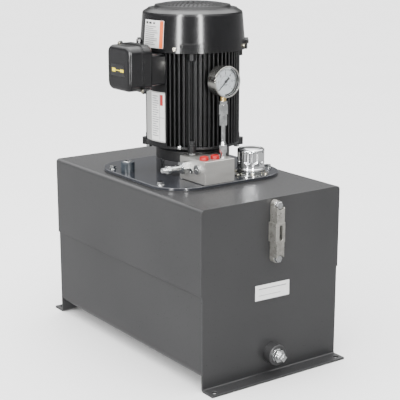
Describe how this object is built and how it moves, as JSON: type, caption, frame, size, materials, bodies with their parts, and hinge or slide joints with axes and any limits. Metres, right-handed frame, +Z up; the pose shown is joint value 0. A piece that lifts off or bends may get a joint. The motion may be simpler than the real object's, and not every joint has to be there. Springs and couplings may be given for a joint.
{
  "type": "hydraulic power unit",
  "caption": "Vertical hydraulic power unit: steel oil tank on feet, fan-cooled electric motor, submerged gear pump, manifold with gauge, filler and level gauge.",
  "frame": {"origin": "on the floor, at the centre of the four foot bolt holes, under the middle of the tank", "axes": "+Z up, -Y is the end with the level gauge and drain, -X is the side with the conduit box and relief valve"},
  "size_m": [0.382, 0.689, 0.784],
  "materials": {
    "tank_paint": "satin dark grey paint",
    "plate_paint": "gloss dark grey paint",
    "black_paint": "gloss black paint",
    "rubber": "plain",
    "zinc": "bright zinc plate",
    "steel": "machined",
    "stainless": "polished stainless",
    "chrome": "bright chrome",
    "aluminium": "brushed",
    "cast_iron": "machined casting",
    "red_plastic": "moulded",
    "fan_plastic": "moulded",
    "polyurethane": "moulded",
    "brass": "turned",
    "copper": "enamelled copper wire",
    "dial_paint": "matt white",
    "pointer_paint": "matt black",
    "glass": "clear"
  },
  "bodies": {
    "unit": {"upper_wrapper": "tank_paint", "lower_wrapper": "tank_paint", "front_end_plate": "tank_paint", "rear_end_plate": "tank_paint", "drain_coupling": "tank_paint", "return_coupling": "tank_paint", "cover_plate": "plate_paint", "motor_frame": "black_paint", "drive_end_bell": "black_paint", "fan_end_bell": "black_paint", "fan_cover": "black_paint", "conduit_box": "black_paint", "conduit_box_cover": "black_paint", "cover_gasket": "rubber", "cover_bolts": "zinc", "drain_bushing": "zinc", "drain_plug": "zinc", "level_gauge_bolts": "zinc", "level_gauge_housing": "zinc", "bell_bolts": "zinc", "small_screws": "zinc", "relief_body": "zinc", "relief_locknut": "zinc", "gauge_adapter": "zinc", "gauge_stem": "zinc", "return_plug": "zinc", "filler_flange": "zinc", "cap_screws": "steel", "relief_spring": "steel", "port_plugs": "steel", "oil_tubes": "steel", "motor_bearings": "steel", "stator_core": "steel", "filler_strainer": "steel", "suction_strainer": "steel", "gauge_case": "stainless", "manifold_block": "aluminium", "pump_adapter": "aluminium", "pump_body": "cast_iron", "pump_cover": "cast_iron", "dust_plugs": "red_plastic", "gauge_socket": "brass", "stator_windings": "copper", "gauge_dial": "dial_paint", "gauge_lens": "glass", "level_gauge_tube": "glass"},
    "rotor": {"motor_shaft": "steel", "rotor_core": "steel", "cooling_fan": "fan_plastic", "coupling_hubs": "steel", "coupling_spider": "polyurethane", "drive_gear": "steel"},
    "driven": {"driven_gear": "steel"},
    "pointer": {"gauge_pointer": "pointer_paint"},
    "sector": {"gauge_sector": "brass"},
    "spring_seat": {"relief_button": "steel"},
    "adjuster": {"relief_adjuster": "zinc"},
    "poppet": {"relief_poppet": "steel"},
    "breather_lift": {"filler_seal": "rubber"},
    "breather_cap": {"filler_cap": "chrome"}
  },
  "joints": [
    {"name": "motor_spin", "type": "hinge", "parent": "unit", "child": "rotor", "pos_m": [0, -0.009, 0.5], "axis": [0, 0, 1], "continuous": true},
    {"name": "driven_gear_spin", "type": "hinge", "parent": "unit", "child": "driven", "pos_m": [0, 0.033, 0.358], "axis": [0, 0, 1], "continuous": true},
    {"name": "pointer_turn", "type": "hinge", "parent": "unit", "child": "pointer", "pos_m": [-0.014, -0.15, 0.6215], "axis": [0, 1, 0], "range_deg": [0, 270], "stiffness_Nm_per_rad": 0.002, "springref_deg": -28.65},
    {"name": "sector_turn", "type": "hinge", "parent": "unit", "child": "sector", "pos_m": [-0.014, -0.149, 0.6075], "axis": [0, 1, 0], "range_deg": [-36.2, 0.2]},
    {"name": "adjuster_travel", "type": "slide", "parent": "unit", "child": "spring_seat", "axis": [1, 0, 0], "range_m": [0, 0.006], "deforming": ["relief_spring"]},
    {"name": "adjuster_turn", "type": "hinge", "parent": "spring_seat", "child": "adjuster", "pos_m": [-0.12, -0.097, 0.432], "axis": [1, 0, 0], "range_deg": [0, 1440]},
    {"name": "poppet_lift", "type": "slide", "parent": "unit", "child": "poppet", "axis": [-1, 0, 0], "range_m": [0, 0.003], "stiffness_N_per_m": 2000, "springref_m": -0.005, "deforming": ["relief_spring"]},
    {"name": "cap_lift", "type": "slide", "parent": "unit", "child": "breather_lift", "axis": [0, 0, 1], "range_m": [0, 0.03]},
    {"name": "cap_turn", "type": "hinge", "parent": "breather_lift", "child": "breather_cap", "pos_m": [0.079, -0.124, 0.43], "axis": [0, 0, 1], "range_deg": [-60, 0]}
  ],
  "couplings": [
    {"joint": "driven_gear_spin", "follows": "motor_spin", "ratio": -1},
    {"joint": "sector_turn", "follows": "pointer_turn", "ratio": -0.13333},
    {"joint": "adjuster_turn", "follows": "adjuster_travel", "rad_per_m": 4188.8}
  ]
}
